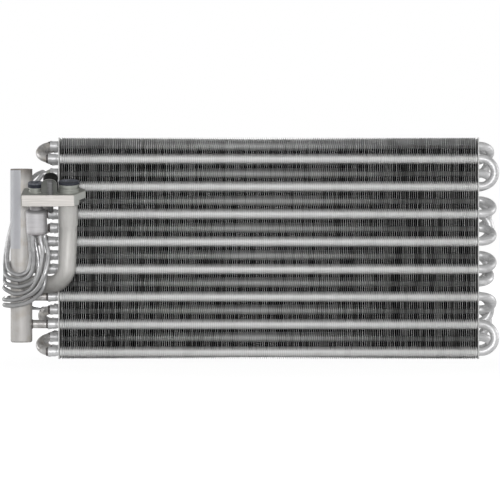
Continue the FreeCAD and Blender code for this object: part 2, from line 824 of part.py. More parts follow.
capillaries = {
    "b2": (180, 3, [(0.74, -1.12, 77.2), (0.56, -1.02, 65.3), (-0.06, -1.0, 61.4),
                    (-0.74, -0.52, 65.6), (-0.94, 0.18, 78.0), (-0.83, 0.67, 99.3),
                    (-0.02, 0.96, 134.6), (0.85, 1.1, 148.5)]),
    "d2": (240, 4, [(0.99, -1.61, 74.5), (0.74, -1.26, 61.3), (-0.06, -1.0, 56.7),
                    (-0.96, -0.6, 60.8), (-1.1, 0.6, 78.0), (-0.88, 1.04, 101.2),
                    (-0.07, 1.45, 140.4), (0.55, 2.4, 155.2), (1.0, 3.6, 159.5)]),
    "d4": (120, 9, [(1.24, -1.21, 73.5), (1.05, -1.39, 56.2), (-0.06, -1.0, 50.7),
                    (-0.96, -0.77, 54.2), (-1.13, 0.99, 65.9), (-0.2, 1.45, 84.5),
                    (0.72, 2.72, 97.7)]),
    "d6": (300, 9, [(1.56, -1.99, 84.5), (1.37, -1.76, 64.0), (0.75, -1.39, 47.5),
                    (-0.31, -1.02, 44.4), (-1.0, -0.8, 49.7), (-1.12, 0.99, 52.9),
                    (-0.07, 1.45, 53.7), (0.95, 3.0, 54.3)]),
    "c6": (0, 9, [(1.96, -2.04, 79.1), (1.65, -2.25, 60.0), (1.07, -1.79, 46.6),
                  (-0.05, -1.07, 39.5), (-1.0, -0.91, 39.6), (-1.14, 1.01, 40.8),
                  (0.46, 1.45, 41.6)]),
    "d7": (60, 9, [(1.44, -1.3, 84.5), (1.71, -1.68, 66.3), (1.61, -1.83, 49.9),
                   (0.76, -1.42, 38.0), (-0.31, -1.02, 34.1), (-0.98, -0.88, 35.0),
                   (-1.12, 1.01, 33.4), (0.44, 1.59, 31.3)])}


def capillaryPoints(tube):
    angle, lastStraight, way = capillaries[tube]
    ringX = liquidX.number + outletRing.number * math.cos(math.radians(angle))
    ringY = outletRing.number * math.sin(math.radians(angle))
    foot = -(distributorNeckLength.number + distributorLength.number)
    wrap = (headerOuter.number + capillaryOuter.number) / 2 + capillaryClearance.number
    axis = Vector(headerX.number, headerY.number, headerBottom.number)
    inlet = Vector(mouthX.number - bushNose.number, tubeY(tube).number, tubeZ(tube).number)
    points = [leaned(ringX, ringY, foot + outletDepth.number - fitGap.number),
              leaned(ringX, ringY, foot - capillaryDrop.number)]
    points += [axis + Vector(right * wrap, back * wrap, up) for right, back, up in way]
    points.append(inlet - Vector(lastStraight, 0, 0))
    points.append(inlet + Vector(bushNose.number + insertion.number - 1, 0, 0))
    return points


def softRadii(points, firstReach, lastReach):
    # The widest arcs that leave each straight run a little of its length
    runs = [(points[i + 1] - points[i]) for i in range(len(points) - 1)]
    shares = [0.46 * run.Length for run in runs]
    shares[0] = firstReach
    shares[-1] = lastReach
    turns = [runs[i].getAngle(runs[i + 1]) for i in range(len(runs) - 1)]
    return [min(shares[i], shares[i + 1]) / math.tan(turns[i] / 2) for i in range(len(turns))]


def buildCapillary(tube):
    points = capillaryPoints(tube)
    lastStraight = capillaries[tube][1]
    path = bentPath(points, softRadii(points, 0.9 * capillaryDrop.number, 0.9 * lastStraight))
    addShape("capillary_" + tube, sweptRod(path, capillaryOuter.number / 2))


buildFins()
buildEndPlate("left_end_plate", -packEnd)
buildEndPlate("right_end_plate", packEnd - plateThickness)
for pair in hairpins:
    buildHairpin(*pair.split())
for pair in returnBends:
    buildReturnBend(*pair.split())
buildHeader()
buildHeaderCap()
for outlet in outlets:
    buildStub(outlet)
buildLabel()
buildBlock()
buildNeck("suction_neck", 0, suctionNeckOuter, suctionNeckBore, suctionNeckHeight)
buildNeck("liquid_neck", liquidX, liquidNeckOuter, liquidNeckBore, liquidNeckHeight)
buildPlug("suction_plug", 0, suctionNeckOuter, suctionNeckBore, suctionNeckHeight,
          suctionPlugHead, suctionPlugRecess)
buildPlug("liquid_plug", liquidX, liquidNeckOuter, liquidNeckBore, liquidNeckHeight,
          liquidPlugHead, liquidPlugHead + plugShank - plugWall)
buildStud()
buildValveStem()
buildDustCap()
buildDistributor()
buildSuctionPipe()
for inlet in capillaries:
    buildFeedBush(inlet)
    buildCapillary(inlet)
doc.recompute()

# Every object must be sound before anything is written
for item in doc.Objects:
    if "Invalid" in item.State or "Error" in item.State:
        raise ValueError(item.Name + " failed: " + str(item.State))
for label, item in nodes.items():
    item.Label = label
    shape = item.Shape
    if shape.isNull() or not shape.isValid() or not shape.Solids:
        raise ValueError(label + " has no valid solid")

os.makedirs("parts", exist_ok=True)
for label, item in nodes.items():
    item.Shape.exportStep("parts/" + label + ".step")
print(len(nodes), "nodes,", sum(len(item.Shape.Solids) for item in nodes.values()), "solids")
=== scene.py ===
import math
import random
import bpy
from mathutils import Matrix, Vector


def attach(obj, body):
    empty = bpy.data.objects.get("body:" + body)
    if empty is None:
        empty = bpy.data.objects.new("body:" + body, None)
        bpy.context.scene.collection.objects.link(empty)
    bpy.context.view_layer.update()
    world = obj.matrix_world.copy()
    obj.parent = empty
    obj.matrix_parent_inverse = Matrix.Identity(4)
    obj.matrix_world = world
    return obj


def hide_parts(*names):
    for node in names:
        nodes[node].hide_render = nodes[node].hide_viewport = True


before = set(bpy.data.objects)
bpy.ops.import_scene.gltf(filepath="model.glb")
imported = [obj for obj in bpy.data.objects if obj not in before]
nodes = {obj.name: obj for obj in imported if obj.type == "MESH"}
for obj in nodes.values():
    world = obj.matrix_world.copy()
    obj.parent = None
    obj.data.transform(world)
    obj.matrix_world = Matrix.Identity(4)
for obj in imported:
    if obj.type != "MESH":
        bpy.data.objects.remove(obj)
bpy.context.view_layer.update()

# Dressing for an evaporator core: full fins with collared tubes, brazed joints, materials,
# studio light and the photograph's camera. Metres, X to the right, Y to the back, Z up.

mm = 0.001

# Rows are lettered from the front, and tubes are numbered from the top. Rows a and c sit low in
# each level, and rows b and d sit high.
tubeRows = "abcd"
lowRows = "ac"
grid = {"tubePitch": 25.4 * mm, "rowPitch": 19.05 * mm, "levels": 8,
        "lowShare": 0.25, "highShare": 0.75}


def tubeY(tube):
    middle = (len(tubeRows) - 1) / 2
    return (tubeRows.index(tube[0]) - middle) * grid["rowPitch"]


def tubeZ(tube):
    share = grid["lowShare"] if tube[0] in lowRows else grid["highShare"]
    return (grid["levels"] - int(tube[1]) + share) * grid["tubePitch"]


# Meshes

def meshPiece(name, vertices, faces, slot, smooth=False):
    mesh = bpy.data.meshes.new(name)
    mesh.from_pydata([tuple(v) for v in vertices], [], faces)
    mesh.update()
    if smooth:
        mesh.polygons.foreach_set("use_smooth", [True] * len(mesh.polygons))
    piece = bpy.data.objects.new(name, mesh)
    bpy.context.scene.collection.objects.link(piece)
    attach(piece, "root")
    return piece


def turned(profile, place, sides):
    # Vertices and faces of a profile of (radius, height) turned about a place's own Z axis
    vertices = []
    for radius, height in profile:
        for i in range(sides):
            angle = 2 * math.pi * i / sides
            point = Vector((radius * math.cos(angle), radius * math.sin(angle), height))
            vertices.append(place @ point)
    faces = []
    for ring in range(len(profile) - 1):
        for i in range(sides):
            j = (i + 1) % sides
            low = ring * sides
            faces.append((low + i, low + j, low + sides + j, low + sides + i))
    return vertices, faces


def gathered(parts):
    vertices = []
    faces = []
    for partVertices, partFaces in parts:
        start = len(vertices)
        vertices += partVertices
        faces += [tuple(start + index for index in face) for face in partFaces]
    return vertices, faces


def axisAlong(origin, direction):
    turn = Vector((0, 0, 1)).rotation_difference(Vector(direction)).to_matrix().to_4x4()
    return Matrix.Translation(Vector(origin)) @ turn


# Node trees

class Nodes:
    def __init__(self, tree):
        self.tree = tree

    def node(self, kind, **settings):
        made = self.tree.nodes.new(kind)
        for name, value in settings.items():
            setattr(made, name, value)
        return made

    def link(self, output, target):
        self.tree.links.new(output, target)

    def put(self, value, socket):
        # A colour or a number is set on the socket, and a node's output is linked to it
        if isinstance(value, tuple):
            socket.default_value = (*value, 1.0)
        elif isinstance(value, (float, int)):
            socket.default_value = value
        else:
            self.link(value, socket)

    def range(self, value, low, high, start=0.0, end=1.0):
        # Low where the value is at the start or before it, and high from the end on
        made = self.node("ShaderNodeMapRange")
        made.inputs["From Min"].default_value = start
        made.inputs["From Max"].default_value = end
        made.inputs["To Min"].default_value = low
        made.inputs["To Max"].default_value = high
        self.link(value, made.inputs["Value"])
        return made.outputs["Result"]

    def mix(self, factor, first, second):
        # Sockets 6 and 7 of a Mix node are its colours, and 2 and 3 its numbers
        made = self.node("ShaderNodeMix", data_type="RGBA")
        self.put(factor, made.inputs["Factor"])
        self.put(first, made.inputs[6])
        self.put(second, made.inputs[7])
        return made.outputs[2]

    def blend(self, factor, first, second):
        made = self.node("ShaderNodeMix", data_type="FLOAT")
        self.put(factor, made.inputs["Factor"])
        self.put(first, made.inputs[2])
        self.put(second, made.inputs[3])
        return made.outputs[0]

    def math(self, operation, first, second=0.0):
        made = self.node("ShaderNodeMath", operation=operation)
        self.put(first, made.inputs[0])
        self.put(second, made.inputs[1])
        return made.outputs["Value"]

    def away(self, value, centre):
        return self.math("ABSOLUTE", self.math("SUBTRACT", value, centre))

    def split(self, vector):
        made = self.node("ShaderNodeSeparateXYZ")
        self.link(vector, made.inputs["Vector"])
        return made.outputs["X"], made.outputs["Y"], made.outputs["Z"]

    def along(self, vector, direction):
        made = self.node("ShaderNodeVectorMath", operation="DOT_PRODUCT")
        self.link(vector, made.inputs[0])
        made.inputs[1].default_value = direction
        return made.outputs["Value"]

    def backgroundRays(self):
        # 1 for camera, glossy and transmission rays, which see the white studio, and 0 for the rest
        path = self.node("ShaderNodeLightPath").outputs
        shiny = self.math("MAXIMUM", path["Is Glossy Ray"], path["Is Transmission Ray"])
        return self.math("MAXIMUM", path["Is Camera Ray"], shiny)

    def overlay(self, share, lit, seen, output):
        # The seen shader takes the place of the lit one by the share
        mixer = self.node("ShaderNodeMixShader")
        self.link(share, mixer.inputs["Fac"])
        self.link(lit, mixer.inputs[1])
        self.link(seen, mixer.inputs[2])
        self.link(mixer.outputs["Shader"], self.tree.nodes[output].inputs["Surface"])


class Shader(Nodes):
    evenly = (1, 1, 1)
    noiseRoughness = 0.55

    def __init__(self, name):
        self.material = bpy.data.materials.new(name)
        self.material.use_nodes = True
        super().__init__(self.material.node_tree)
        self.surface = self.tree.nodes["Principled BSDF"]
        place = self.node("ShaderNodeTexCoord").outputs
        self.coordinates = place["Object"]
        self.normal = place["Normal"]

    def give(self, socketName, value):
        self.put(value, self.surface.inputs[socketName])

    def noise(self, size, stretch=evenly, detail=3.0):
        mapping = self.node("ShaderNodeMapping")
        mapping.inputs["Scale"].default_value = stretch
        self.link(self.coordinates, mapping.inputs["Vector"])
        made = self.node("ShaderNodeTexNoise")
        made.inputs["Scale"].default_value = size
        made.inputs["Detail"].default_value = detail
        made.inputs["Roughness"].default_value = self.noiseRoughness
        self.link(mapping.outputs["Vector"], made.inputs["Vector"])
        return made.outputs["Fac"]

    def ramp(self, factor, *stops):
        made = self.node("ShaderNodeValToRGB")
        for element, (position, color) in zip(made.color_ramp.elements, stops):
            element.position = position
            element.color = (*color, 1.0)
        self.link(factor, made.inputs["Fac"])
        return made.outputs["Color"]

    def bump(self, height, strength, distance):
        made = self.node("ShaderNodeBump")
        made.inputs["Strength"].default_value = strength
        made.inputs["Distance"].default_value = distance
        self.link(height, made.inputs["Height"])
        self.link(made.outputs["Normal"], self.surface.inputs["Normal"])


# Metals: a grain between a dark and a light tone. A tint lies on some in clouds, and some are
# darker between two heights (low, high, tint), which is painted shade on the capillaries, the suction
# pipe and the distributor's neck.

metalFinish = {
    "specular": 0.25, "toneSpan": (0.30, 0.68), "bumpDistance": 0.4 * mm,
    "stainSize": 45.0, "stainDetail": 4.0, "stainShare": 0.45,
    "cloudSize": 110.0, "cloudDetail": 2.0, "cloudSpan": (0.48, 0.66), "cloudShare": 0.5,
    "darkeningSoftness": 0.35, "darkeningSpan": (0.35, 0.6), "darkeningLeast": 0.55}

metalLooks = {
    "plateSheet": {
        "dark": (0.44, 0.44, 0.435), "light": (0.57, 0.57, 0.565),
        "metallic": 0.15, "roughness": (0.46, 0.60), "grain": (60, 60, 20), "size": 8.0, "bump": 0.12},
    "hairpinTube": {
        "dark": (0.38, 0.38, 0.385), "light": (0.74, 0.74, 0.745),
        "metallic": 0.35, "roughness": (0.34, 0.50), "grain": (8, 60, 60), "size": 9.0, "bump": 0.10},
    "bendTube": {
        "dark": (0.20, 0.19, 0.185), "light": (0.68, 0.67, 0.66), "tint": (0.40, 0.36, 0.30),
        "metallic": 0.4, "roughness": (0.26, 0.42), "grain": (30, 30, 30), "size": 9.0, "bump": 0.12},
    "headerTube": {
        "dark": (0.48, 0.465, 0.45), "light": (0.60, 0.585, 0.57), "tint": (0.45, 0.41, 0.36),
        "metallic": 0.15, "roughness": (0.50, 0.64), "grain": (60, 60, 6), "size": 8.0, "bump": 0.10,
        "darkened": [(168.0 * mm, 182.0 * mm, (0.11, 0.09, 0.075))]},
    "capillary": {
        "dark": (0.28, 0.28, 0.285), "light": (0.62, 0.62, 0.625),
        "metallic": 0.4, "roughness": (0.26, 0.38), "grain": (25, 25, 25), "size": 9.0, "bump": 0.08,
        # painted shade over the capillaries' lower loops
        "darkened": [(42.0 * mm, 82.0 * mm, (0.29, 0.29, 0.29))]},
    "suctionTube": {
        "dark": (0.50, 0.49, 0.47), "light": (0.62, 0.61, 0.59),
        "metallic": 0.15, "roughness": (0.44, 0.58), "grain": (50, 50, 8), "size": 8.0, "bump": 0.10,
        # painted shade on the suction pipe's elbow and lower run
        "darkened": [(50.0 * mm, 73.0 * mm, (0.20, 0.195, 0.185))]},
    "turnedBody": {
        "dark": (0.48, 0.47, 0.48), "light": (0.62, 0.61, 0.62),
        "metallic": 0.35, "roughness": (0.34, 0.46), "grain": (6, 6, 90), "size": 12.0, "bump": 0.05,
        # a darker band at the distributor's foot, and painted shade on its neck under the port block
        "darkened": [(108.0 * mm, 114.5 * mm, (0.10, 0.085, 0.085)),
                     (134.5 * mm, 144.0 * mm, (0.08, 0.075, 0.075))]},
    "turnedNeck": {
        "dark": (0.26, 0.27, 0.245), "light": (0.42, 0.43, 0.40),
        "metallic": 0.35, "roughness": (0.36, 0.5), "grain": (6, 6, 90), "size": 12.0, "bump": 0.10},
    "studMetal": {
        "dark": (0.10, 0.10, 0.10), "light": (0.24, 0.24, 0.24),
        "metallic": 0.5, "roughness": (0.35, 0.5), "grain": (10, 10, 60), "size": 12.0, "bump": 0.08,
        "darkened": [(110.0 * mm, 146.0 * mm, (0.012, 0.012, 0.012))]},
    "darkStem": {
        "dark": (0.018, 0.017, 0.016), "light": (0.05, 0.048, 0.045),
        "metallic": 0.2, "roughness": (0.45, 0.6), "grain": (10, 10, 60), "size": 12.0, "bump": 0.08},
    "brazeMetal": {
        "dark": (0.06, 0.055, 0.055), "light": (0.18, 0.165, 0.16),
        "metallic": 0.4, "roughness": (0.45, 0.7), "grain": (60, 60, 60), "size": 10.0, "bump": 0.3}}


def darkeningMask(shader, stain, height, low, high):
    # 1 between two heights, uneven by the stain, and softer towards both
    finish = metalFinish
    soft = finish["darkeningSoftness"] * (high - low)
    upward = shader.range(height, 0.0, 1.0, low - soft, low + soft)
    downward = shader.range(height, 1.0, 0.0, high - soft, high + soft)
    patchy = shader.range(stain, finish["darkeningLeast"], 1.0, *finish["darkeningSpan"])
    return shader.math("MULTIPLY", shader.math("MULTIPLY", upward, downward), patchy)


def metal(name):
    look = metalLooks[name]
    finish = metalFinish
    shader = Shader(name)
    grain = shader.noise(look["size"], look["grain"])
    stain = shader.noise(finish["stainSize"], detail=finish["stainDetail"])
    both = shader.mix(finish["stainShare"], grain, stain)
    darkest, lightest = finish["toneSpan"]
    color = shader.ramp(both, (darkest, look["dark"]), (lightest, look["light"]))
    if "tint" in look:
        clouds = shader.noise(finish["cloudSize"], detail=finish["cloudDetail"])
        share = shader.range(clouds, 0.0, finish["cloudShare"], *finish["cloudSpan"])
        color = shader.mix(share, color, look["tint"])
    _, _, height = shader.split(shader.coordinates)
    for low, high, tint in look.get("darkened", []):
        color = shader.mix(darkeningMask(shader, stain, height, low, high), color, tint)
    smooth, rough = look["roughness"]
    shader.give("Base Color", color)
    shader.give("Roughness", shader.range(stain, rough, smooth))
    shader.give("Metallic", look["metallic"])
    shader.give("Specular IOR Level", finish["specular"])
    shader.bump(grain, look["bump"], finish["bumpDistance"])
    return shader.material


# The port block is pale where its front face is milled; its other faces carry painted light and shade
# by the way they face.

blockLooks = {
    "tilt": math.radians(15), "milled": (0.80, 0.765, 0.73), "streak": (0.66, 0.635, 0.60),
    "drawn": (0.066, 0.07, 0.062), "side": (0.54, 0.55, 0.52), "top": (0.30, 0.305, 0.28),
    "milledDepth": (0.5 * mm, 0.2 * mm), "streakStretch": (4, 150, 150), "streakSize": 10.0,
    "streakSpan": (0.36, 0.60), "sideSpan": (0.2, 0.7), "topSpan": (0.7, 0.9), "wearSize": 90.0,
    "wearSpan": (0.3, 0.7), "wearShare": 0.12, "metallic": 0.15, "roughness": (0.42, 0.58),
    "bump": 0.08, "bumpDistance": 0.3 * mm}


def blockMaterial(piece):
    look = blockLooks
    shader = Shader("drawnBlock")
    streaks = shader.noise(look["streakSize"], look["streakStretch"])
    brushed = shader.range(streaks, 0.0, 1.0, *look["streakSpan"])
    milled = shader.mix(brushed, look["streak"], look["milled"])
    # Painted light and shade by facing: lighter on faces turned right, grey on faces turned up, almost
    # black on the rest
    sideways = shader.range(shader.along(shader.normal, (1, 0, 0)), 0.0, 1.0, *look["sideSpan"])
    upward = shader.range(shader.along(shader.normal, (0, 0, 1)), 0.0, 1.0, *look["topSpan"])
    drawn = shader.mix(sideways, look["drawn"], look["side"])
    drawn = shader.mix(upward, drawn, look["top"])
    wear = shader.noise(look["wearSize"])
    rubbed = shader.range(wear, 0.0, look["wearShare"], *look["wearSpan"])
    drawn = shader.mix(rubbed, drawn, look["side"])
    forward = Vector((0, -math.cos(look["tilt"]), -math.sin(look["tilt"])))
    face = max(vertex.co.dot(forward) for vertex in piece.data.vertices)
    first, full = look["milledDepth"]
    reach = shader.along(shader.coordinates, forward)
    onFace = shader.range(reach, 0.0, 1.0, face - first, face - full)
    shader.give("Base Color", shader.mix(onFace, drawn, milled))
    shader.give("Roughness", shader.range(wear, *look["roughness"]))
    shader.give("Metallic", look["metallic"])
    shader.bump(streaks, look["bump"], look["bumpDistance"])
    return shader.material


# Plastics: plugs, cap and label

plasticFinish = {"toneSpan": (0.3, 0.7), "speckDetail": 4.0, "wearSize": 70.0, "wearShare": 0.5,
                 "bumpDistance": 0.3 * mm}

plasticLooks = {
    "navyPlug": {"dark": (0.012, 0.014, 0.020), "light": (0.030, 0.033, 0.046),
                 "specular": 0.2, "roughness": (0.50, 0.65), "size": 220.0, "bump": 0.15},
    "blackCap": {"dark": (0.004, 0.004, 0.004), "light": (0.012, 0.012, 0.012),
                 "specular": 0.15, "roughness": (0.60, 0.75), "size": 260.0, "bump": 0.15},
    "foilLabel": {"dark": (0.46, 0.465, 0.49), "light": (0.54, 0.545, 0.57),
                  "specular": 0.4, "roughness": (0.34, 0.46), "size": 60.0, "bump": 0.05}}

# A lighter, ribbed band along the plugs' tilted tops, fading towards the front from a start given as a
# share of each one's depth
plugTopLooks = {"color": (0.17, 0.18, 0.205), "band": 1.3 * mm, "softness": 0.5 * mm, "least": 0.2,
             "fade": 0.3, "ribStretch": (90, 1, 1), "ribSize": 12.0, "ribDetail": 1.0,
             "ribLeast": 0.55, "ribSpan": (0.4, 0.6),
             "starts": {"suction_plug": 0.3, "liquid_plug": -0.3}}


def dustMask(shader, piece, share):
    look = plugTopLooks
    upward = Vector((0, -math.sin(blockLooks["tilt"]), math.cos(blockLooks["tilt"])))
    band = max(vertex.co.dot(upward) for vertex in piece.data.vertices) - look["band"]
    height = shader.along(shader.coordinates, upward)
    onTop = shader.range(height, 0.0, 1.0, band, band + look["softness"])
    front = min(vertex.co.y for vertex in piece.data.vertices)
    depth = max(vertex.co.y for vertex in piece.data.vertices) - front
    start = front + share * depth
    _, y, _ = shader.split(shader.coordinates)
    rearward = shader.range(y, look["least"], 1.0, start, start + look["fade"] * depth)
    noise = shader.noise(look["ribSize"], look["ribStretch"], look["ribDetail"])
    ribs = shader.range(noise, look["ribLeast"], 1.0, *look["ribSpan"])
    return shader.math("MULTIPLY", shader.math("MULTIPLY", onTop, rearward), ribs)


def plastic(name, bandedPiece=None, topBandStart=0.0):
    look = plasticLooks[name]
    finish = plasticFinish
    shader = Shader(name)
    speck = shader.noise(look["size"], detail=finish["speckDetail"])
    wear = shader.noise(finish["wearSize"])
    darkest, lightest = finish["toneSpan"]
    both = shader.mix(finish["wearShare"], speck, wear)
    color = shader.ramp(both, (darkest, look["dark"]), (lightest, look["light"]))
    if bandedPiece:
        color = shader.mix(dustMask(shader, bandedPiece, topBandStart), color, plugTopLooks["color"])
    shader.give("Base Color", color)
    shader.give("Roughness", shader.range(wear, *look["roughness"]))
    shader.give("Specular IOR Level", look["specular"])
    shader.bump(speck, look["bump"], finish["bumpDistance"])
    return shader.material


materials = {name: metal(name) for name in metalLooks}
materials.update({name: plastic(name) for name in ("blackCap", "foilLabel")})

# The material of each CAD node by the start of its name
nodeMaterials = {
    "left_end_plate": "plateSheet", "right_end_plate": "plateSheet", "blank_label": "foilLabel",
    "suction_header": "headerTube", "header_cap": "headerTube", "suction_pipe": "suctionTube",
    "suction_neck": "turnedNeck", "liquid_neck": "turnedNeck", "feed_bush": "turnedNeck",
    "clamp_stud": "studMetal", "service_stem": "darkStem", "dust_cap": "blackCap",
    "distributor": "turnedBody", "capillary": "capillary", "hairpin": "hairpinTube",
    "return_bend": "bendTube", "outlet_stub": "bendTube"}


def dress(piece, material):
    piece.data.materials.clear()
    piece.data.materials.append(material)


def dressNodes():
    for node, piece in nodes.items():
        for start, name in nodeMaterials.items():
            if node.startswith(start):
                dress(piece, materials[name])
    dress(nodes["port_block"], blockMaterial(nodes["port_block"]))
    for node, topBandStart in plugTopLooks["starts"].items():
        dress(nodes[node], plastic("navyPlug", nodes[node], topBandStart))
    print("materials on", len(nodes), "CAD nodes")


# Fins: every sheet has flat borders, waves between the rows of tubes, and rolled edges in front
# and behind. The outermost ones stand straight, clear of the end plates.

finSettings = {
    "pitch": 1.954 * mm, "thickness": 0.15 * mm, "edgeThickness": 0.34 * mm, "edgeDepth": 0.35 * mm,
    "taperDepth": 0.56 * mm, "depth": 76.2 * mm, "height": 203.2 * mm, "border": 25.0 * mm,
    "waves": 3, "waveSwing": 0.95 * mm, "jitter": 0.16 * mm, "seed": 11, "perSide": 97, "straight": 2}

# Painted light and shade: the sheets are light where a tube's collar lies behind them and along their
# top and bottom rims, a little lighter within 2.6 mm of every cut edge, and almost black with painted
# shade between. The cut edges have a tone of their own, which takes the painted light about the
# collars.
finLooks = {
    "gapShade": (0.005, 0.005, 0.005), "bright": (0.84, 0.84, 0.835), "edge": (0.50, 0.50, 0.495),
    "collarReach": 4.3 * mm, "secondReach": 2.5 * mm, "plateau": 0.55, "lightDrop": 1.1 * mm,
    "secondDepth": (3.5 * mm, 8.0 * mm), "topReach": 7.0 * mm, "bottomReach": 3.2 * mm,
    "rimSoftness": 0.5 * mm, "rimLight": 0.72, "lip": 0.26, "lipDepth": (0.6 * mm, 2.6 * mm),
    "edgeDepth": (0.4 * mm, 0.6 * mm), "endDepth": (0.1 * mm, 0.3 * mm),
    "patchSize": 12.0, "patchStretch": (9, 1, 3), "patchDetail": 2.0, "patchSpan": (0.3, 0.7),
    "patchLight": (0.8, 1.2), "foldSize": 12.0, "foldStretch": (40, 1, 2), "foldDetail": 1.0,
    "foldSpan": (0.36, 0.60), "foldLight": (0.22, 1.2), "grainSize": 8.0, "grainStretch": (40, 40, 6),
    "roughness": (0.55, 0.75), "bump": 0.12, "bumpDistance": 0.4 * mm}


def near(shader, value, centre, reach):
    # 1 about the centre and 0 from the reach on
    return shader.range(shader.away(value, centre), 1.0, 0.0, finLooks["plateau"] * reach, reach)


def collarLight(shader, inward, y, z):
    # Painted light: 1 about the first row's collars, seen from either side, and about the second row's
    # deeper in
    look = finLooks
    pitch = grid["tubePitch"]
    low = grid["lowShare"] * pitch
    high = grid["highShare"] * pitch
    level = shader.math("MODULO", shader.math("ADD", z, look["lightDrop"]), pitch)
    behind = shader.math("GREATER_THAN", y, 0.0)
    first = shader.blend(behind, near(shader, level, low, look["collarReach"]),
                         near(shader, level, high, look["collarReach"]))
    second = shader.blend(behind, near(shader, level, high, look["secondReach"]),
                          near(shader, level, low, look["secondReach"]))
    deeper = shader.range(inward, 0.0, 1.0, *look["secondDepth"])
    return shader.math("MAXIMUM", first, shader.math("MULTIPLY", second, deeper))


def finMaterial():
    look = finLooks
    height = finSettings["height"]
    shader = Shader("finSheet")
    _, y, z = shader.split(shader.coordinates)
    inward = shader.math("SUBTRACT", finSettings["depth"] / 2, shader.math("ABSOLUTE", y))
    fromEnd = shader.math("SUBTRACT", height / 2, shader.away(z, height / 2))
    topStart = height - look["topReach"]
    soft = look["rimSoftness"]
    # Painted light along the top and bottom rims
    top = shader.range(z, 0.0, look["rimLight"], topStart - soft, topStart)
    bottom = shader.range(z, look["rimLight"], 0.0, look["bottomReach"], look["bottomReach"] + soft)
    rims = shader.math("MAXIMUM", top, bottom)
    bright = shader.math("MAXIMUM", collarLight(shader, inward, y, z), rims)
    patches = shader.noise(look["patchSize"], look["patchStretch"], look["patchDetail"])
    uneven = shader.range(patches, *look["patchLight"], *look["patchSpan"])
    bright = shader.math("MULTIPLY", bright, uneven)
    # Painted light within the first millimetres behind every cut edge
    lip = shader.math("MAXIMUM", shader.range(inward, look["lip"], 0.0, *look["lipDepth"]),
                      shader.range(fromEnd, look["lip"], 0.0, *look["lipDepth"]))
    sheet = shader.mix(shader.math("MAXIMUM", bright, lip), look["gapShade"], look["bright"])
    folds = shader.noise(look["foldSize"], look["foldStretch"], look["foldDetail"])
    fold = shader.range(folds, *look["foldLight"], *look["foldSpan"])
    edge = shader.mix(bright, look["edge"], look["bright"])
    edge = shader.mix(shader.math("MAXIMUM", fold, bright), look["gapShade"], edge)
    onEdge = shader.math("MAXIMUM", shader.range(inward, 1.0, 0.0, *look["edgeDepth"]),
                         shader.range(fromEnd, 1.0, 0.0, *look["endDepth"]))
    grain = shader.noise(look["grainSize"], look["grainStretch"])
    shader.give("Base Color", shader.mix(onEdge, sheet, edge))
    shader.give("Roughness", shader.range(grain, *look["roughness"]))
    shader.give("Specular IOR Level", 0.0)
    shader.bump(grain, look["bump"], look["bumpDistance"])
    return shader.material


def finProfile():
    # (depth from the front, sideways shift, half thickness) along one fin
    fin = finSettings
    half = fin["thickness"] / 2
    bold = fin["edgeThickness"] / 2
    inner = fin["depth"] - 2 * fin["border"]
    steps = fin["waves"] * 2
    points = [(0, 0, bold), (fin["edgeDepth"], 0, bold), (fin["taperDepth"], 0, half)]
    rearPoints = [(fin["depth"] - depth, shift, thick) for depth, shift, thick in reversed(points)]
    for i in range(steps + 1):
        swing = 0 if i in (0, steps) else fin["waveSwing"] * (1 if i % 2 else -1)
        points.append((fin["border"] + inner * i / steps, swing, half))
    return points + rearPoints


def finFaces(count):
    # A closed sheet from four runs of points: left and right below, then left and right above
    faces = []
    for i in range(count - 1):
        left, right, up = i, i + count, 2 * count
        faces.append((left + 1, left, left + up, left + up + 1))
        faces.append((right, right + 1, right + up + 1, right + up))
        faces.append((left, left + 1, right + 1, right))
        faces.append((left + up + 1, left + up, right + up, right + up + 1))
    last = count - 1
    faces.append((0, count, 3 * count, 2 * count))
    faces.append((last + count, last, last + 2 * count, last + 3 * count))
    return faces


def buildFins():
    fin = finSettings
    draws = random.Random(fin["seed"])
    profile = finProfile()
    faces = finFaces(len(profile))
    parts = []
    for k in range(-fin["perSide"], fin["perSide"] + 1):
        shifts = [draws.uniform(-1, 1) * fin["jitter"] for _ in range(4)]
        if abs(k) > fin["perSide"] - fin["straight"]:
            shifts = [0, 0, 0, 0]
        vertices = []
        for level in range(2):
            for side in (-1, 1):
                for depth, swing, half in profile:
                    back = depth / fin["depth"]
                    lean = shifts[level] * (1 - back) + shifts[level + 2] * back
                    x = k * fin["pitch"] + swing + lean + side * half
                    vertices.append((x, depth - fin["depth"] / 2, level * fin["height"]))
        parts.append((vertices, faces))
    fins = meshPiece("full_fins", *gathered(parts), "fin_sheet")
    fins.data.materials.append(finMaterial())
    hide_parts("fin_stack")
    print("fins:", len(parts))


# Collars: the fins' drawn holes line up into one sleeve round each tube, with a ridge at each fin.
# The sleeves carry a painted highlight along their middle line, with painted shade above and below it.

sleeveSettings = {"radius": 4.65 * mm, "halfLength": 192.0 * mm, "sides": 28}
collarLooks = {
    "valley": (0.72, 0.72, 0.715), "ridge": (0.98, 0.98, 0.975), "shade": (0.10, 0.10, 0.10),
    "least": 0.2, "plateau": 0.2, "innerReach": 3.9 * mm, "outerReach": 6.4 * mm,
    "wearSize": 8.0, "wearStretch": (30, 60, 60), "wearShare": 0.35, "metallic": 0.1,
    "roughness": (0.50, 0.65), "bump": 0.2, "bumpDistance": 0.3 * mm}


